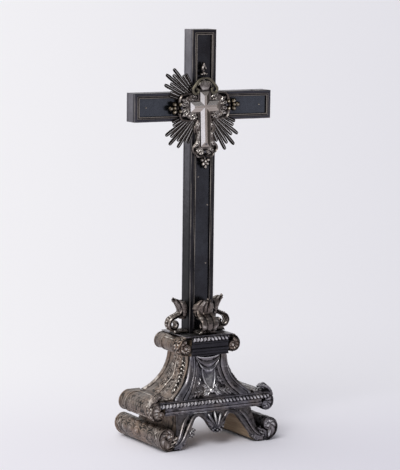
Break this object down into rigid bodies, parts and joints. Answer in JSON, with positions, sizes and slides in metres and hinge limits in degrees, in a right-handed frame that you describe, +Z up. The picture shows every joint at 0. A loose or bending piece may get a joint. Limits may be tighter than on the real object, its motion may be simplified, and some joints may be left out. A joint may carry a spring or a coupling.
{
  "type": "reliquary crucifix",
  "caption": "Standing altar reliquary cross in tarnished silver over a wooden core, with a rayed scroll frame round a bright cross-shaped relic case, on a stepped scroll base.",
  "frame": {"origin": "on the floor under the middle of the base", "axes": "+Z up the cross, -Y towards the front with the relic case, +X to the right seen from the front"},
  "size_m": [0.1972, 0.1162, 0.52],
  "materials": {
    "oak": "dry aged oak",
    "tarnished_silver": "embossed sheet silver with dark tarnish in the hollows",
    "brown_silver": "sheet silver with brown tarnish",
    "black_silver": "nearly black tarnished silver, satin",
    "grey_silver": "grey tarnished silver, satin",
    "bright_silver": "polished silver",
    "gilt_patina": "worn gilding with greenish patina"
  },
  "bodies": {
    "root": {"base_board": "oak", "body_back_panel": "grey_silver", "body_core": "oak", "body_front_panel": "tarnished_silver", "body_side_panel_left": "brown_silver", "body_side_panel_right": "brown_silver", "bracket_front": "brown_silver", "bracket_left": "brown_silver", "bracket_right": "brown_silver", "cap_core": "oak", "cap_front_moulding": "tarnished_silver", "cap_gadroon_band": "tarnished_silver", "cap_plate": "tarnished_silver", "cap_roll_left": "brown_silver", "cap_roll_right": "brown_silver", "cartouche_frame": "tarnished_silver", "cartouche_hood": "gilt_patina", "case_cover": "bright_silver", "case_screw": "grey_silver", "case_tray": "bright_silver", "cross_arm": "oak", "cross_back_plate": "grey_silver", "cross_border": "black_silver", "cross_panel": "black_silver", "cross_side_band": "grey_silver", "cross_upright": "oak", "finial": "tarnished_silver", "foot_block_left": "oak", "foot_block_right": "oak", "foot_roll_left": "tarnished_silver", "foot_roll_right": "tarnished_silver", "frame_pin_1": "grey_silver", "frame_pin_2": "grey_silver", "frame_pin_3": "grey_silver", "front_valance": "tarnished_silver", "mid_front_moulding": "tarnished_silver", "mid_gadroon_band": "tarnished_silver", "mid_leaf_left": "tarnished_silver", "mid_leaf_right": "tarnished_silver", "mid_roll_left": "tarnished_silver", "mid_roll_right": "tarnished_silver", "panel_nail_1": "grey_silver", "panel_nail_2": "grey_silver", "panel_nail_3": "grey_silver", "panel_nail_4": "grey_silver", "panel_nail_5": "grey_silver", "pendant_flower": "tarnished_silver", "rays_lower_left": "black_silver", "rays_lower_right": "black_silver", "rays_upper_left": "black_silver", "relic_sliver": "oak", "side_garland_left": "tarnished_silver", "side_garland_right": "tarnished_silver", "tenon_peg": "oak", "trefoil_left": "gilt_patina", "trefoil_right": "gilt_patina"}
  },
  "joints": []
}
